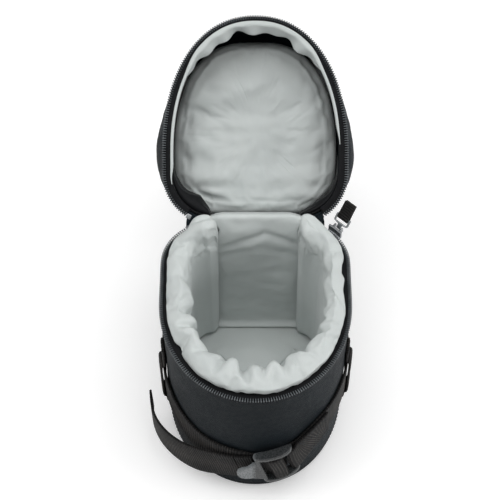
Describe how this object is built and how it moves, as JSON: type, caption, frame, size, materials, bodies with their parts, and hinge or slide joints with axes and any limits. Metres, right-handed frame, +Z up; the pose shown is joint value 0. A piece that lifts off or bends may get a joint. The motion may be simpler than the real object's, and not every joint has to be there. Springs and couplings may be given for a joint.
{
  "type": "lens pouch",
  "caption": "Upright padded pouch with an oval front, a flat back, a zip-around lid hinged at the back, a webbing strap with a buckle, and a belt loop.",
  "frame": {"origin": "middle of the flat underside of the base, under the widest line of the plan", "axes": "+Z up, the round front faces -Y, the hinge and the belt loop are at +Y, +X is to the right seen from the front"},
  "size_m": [0.1304, 0.2613, 0.196],
  "materials": {
    "nylon": "matt woven",
    "lining": "soft satin",
    "tape": "matt woven",
    "webbing": "ribbed",
    "plastic": "satin",
    "metal": "satin"
  },
  "bodies": {
    "pouch_body": {"outer_wall": "nylon", "base_panel": "nylon", "floor_pad": "lining", "wall_pad": "lining", "back_lining": "lining", "body_zip_tape": "tape", "body_zip_teeth": "tape", "body_zip_stop": "metal", "hinge_panel": "nylon", "hinge_fold": "nylon", "belt_loop": "webbing", "strap": "webbing", "strap_sewn_end": "webbing", "strap_tail_root": "webbing", "keeper_right": "webbing", "keeper_left": "webbing"},
    "lid": {"lid_wall": "nylon", "lid_top": "nylon", "lid_side_lining": "tape", "lid_pad": "lining", "lid_facing": "lining", "gusset_right": "tape", "gusset_left": "tape", "lid_zip_tape": "tape", "lid_zip_teeth": "tape", "lid_zip_stop": "metal"},
    "slider": {"zip_slider": "metal"},
    "pull": {"pull_bail": "metal", "pull_tab": "webbing"},
    "buckle": {"buckle": "plastic", "strap_thread": "webbing"},
    "tail": {"strap_tail": "webbing"}
  },
  "joints": [
    {"name": "lid_hinge", "type": "hinge", "parent": "pouch_body", "child": "lid", "pos_m": [0, 0.0585, 0.1157], "axis": [1, 0, 0], "range_deg": [-20, 141.5]},
    {"name": "slider_travel", "type": "hinge", "parent": "pouch_body", "child": "slider", "pos_m": [0.0265, 0.028, 0.1157], "axis": [0, 0, -1], "range_deg": [0, 37]},
    {"name": "pull_swing", "type": "hinge", "parent": "slider", "child": "pull", "pos_m": [0.05201, 0.05452, 0.1157], "axis": [-0.7206, 0.6934, 0], "range_deg": [-50, 140]},
    {"name": "buckle_tilt", "type": "hinge", "parent": "pouch_body", "child": "buckle", "pos_m": [0.02264, -0.06761, 0.04441], "axis": [-0.1939, -0.111, 0.9747], "range_deg": [0, 32]},
    {"name": "tail_swing", "type": "hinge", "parent": "pouch_body", "child": "tail", "pos_m": [-0.01094, -0.07142, 0.03761], "axis": [-0.2227, 0.0215, 0.9746], "range_deg": [0, 55]}
  ]
}
